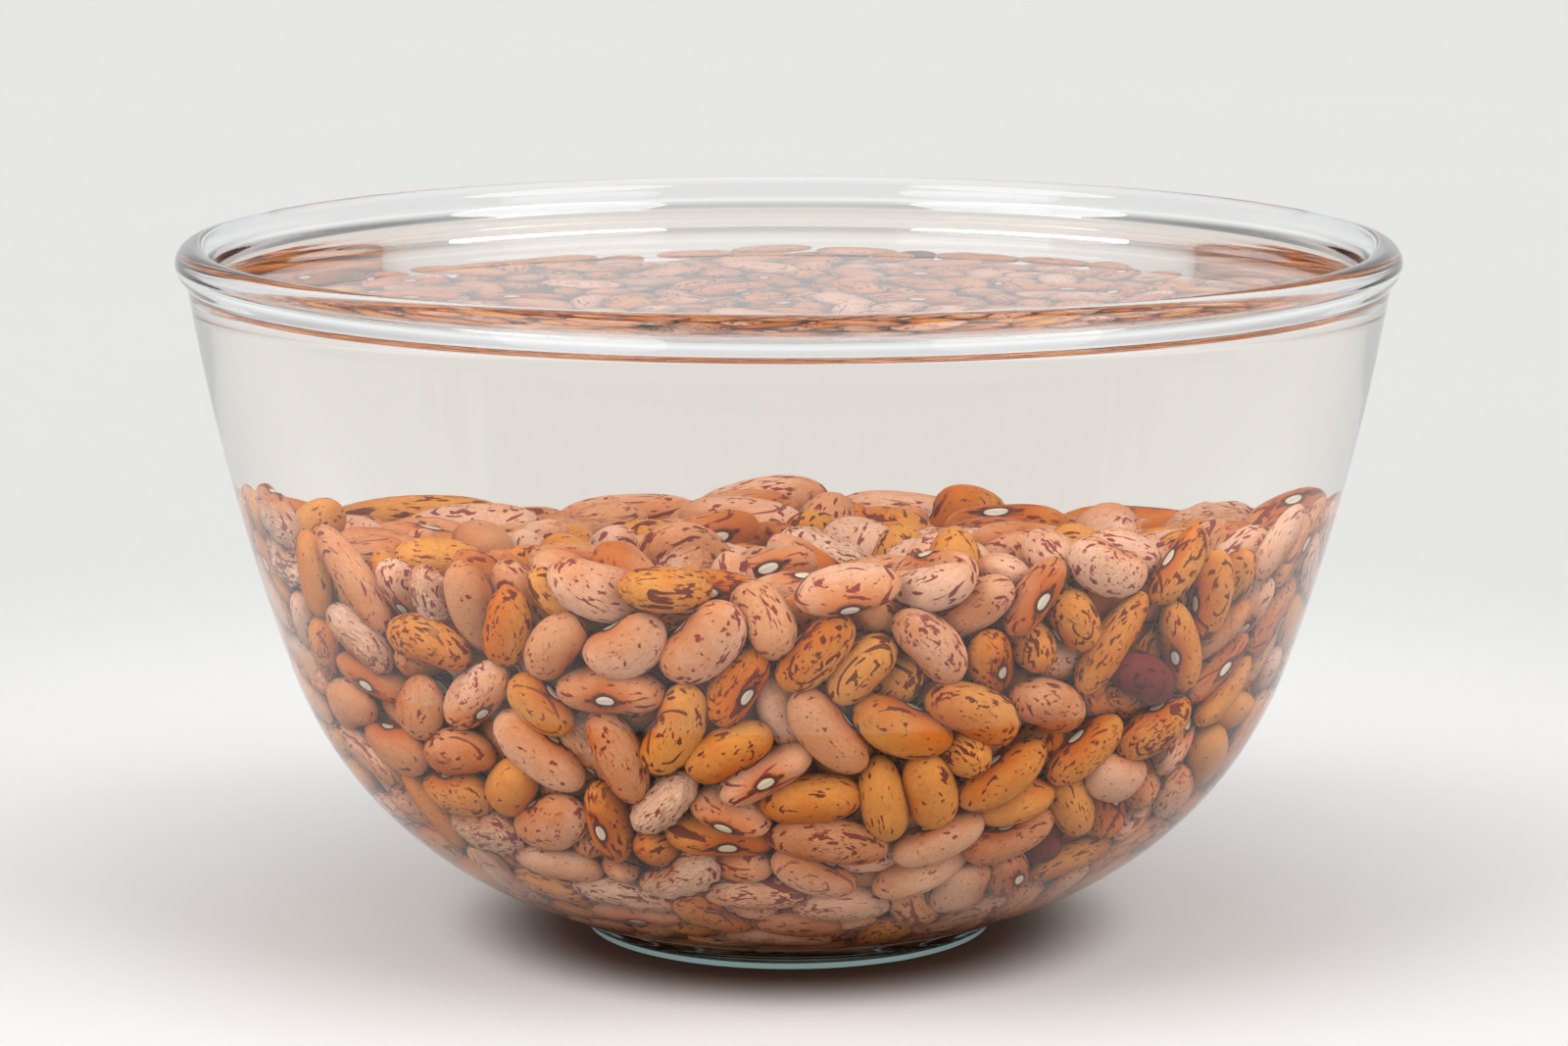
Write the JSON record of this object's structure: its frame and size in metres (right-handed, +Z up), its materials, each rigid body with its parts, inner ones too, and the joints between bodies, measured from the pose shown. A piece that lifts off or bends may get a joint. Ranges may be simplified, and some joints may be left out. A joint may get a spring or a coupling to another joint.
{
  "type": "bowl of dried beans soaking in water",
  "caption": "Clear glass mixing bowl with a thick rounded rim and a flat foot, holding a heap of speckled dried beans that soak under clear water.",
  "frame": {"origin": "centre of the flat underside of the foot, on the surface that the bowl stands on", "axes": "+Z up along the bowl's axis; -Y towards the picture's camera"},
  "size_m": [0.24, 0.24, 0.1378],
  "materials": {
    "clear_glass": "clear, polished, very faint teal tint",
    "bean_skin": "wet, softly glossy bean skin in tan, ochre and pinkish beige with dark maroon flecks",
    "clear_water": "clear still water"
  },
  "bodies": {
    "root": {"bowl": "clear_glass", "beans": "bean_skin", "water": "clear_water"}
  },
  "joints": []
}
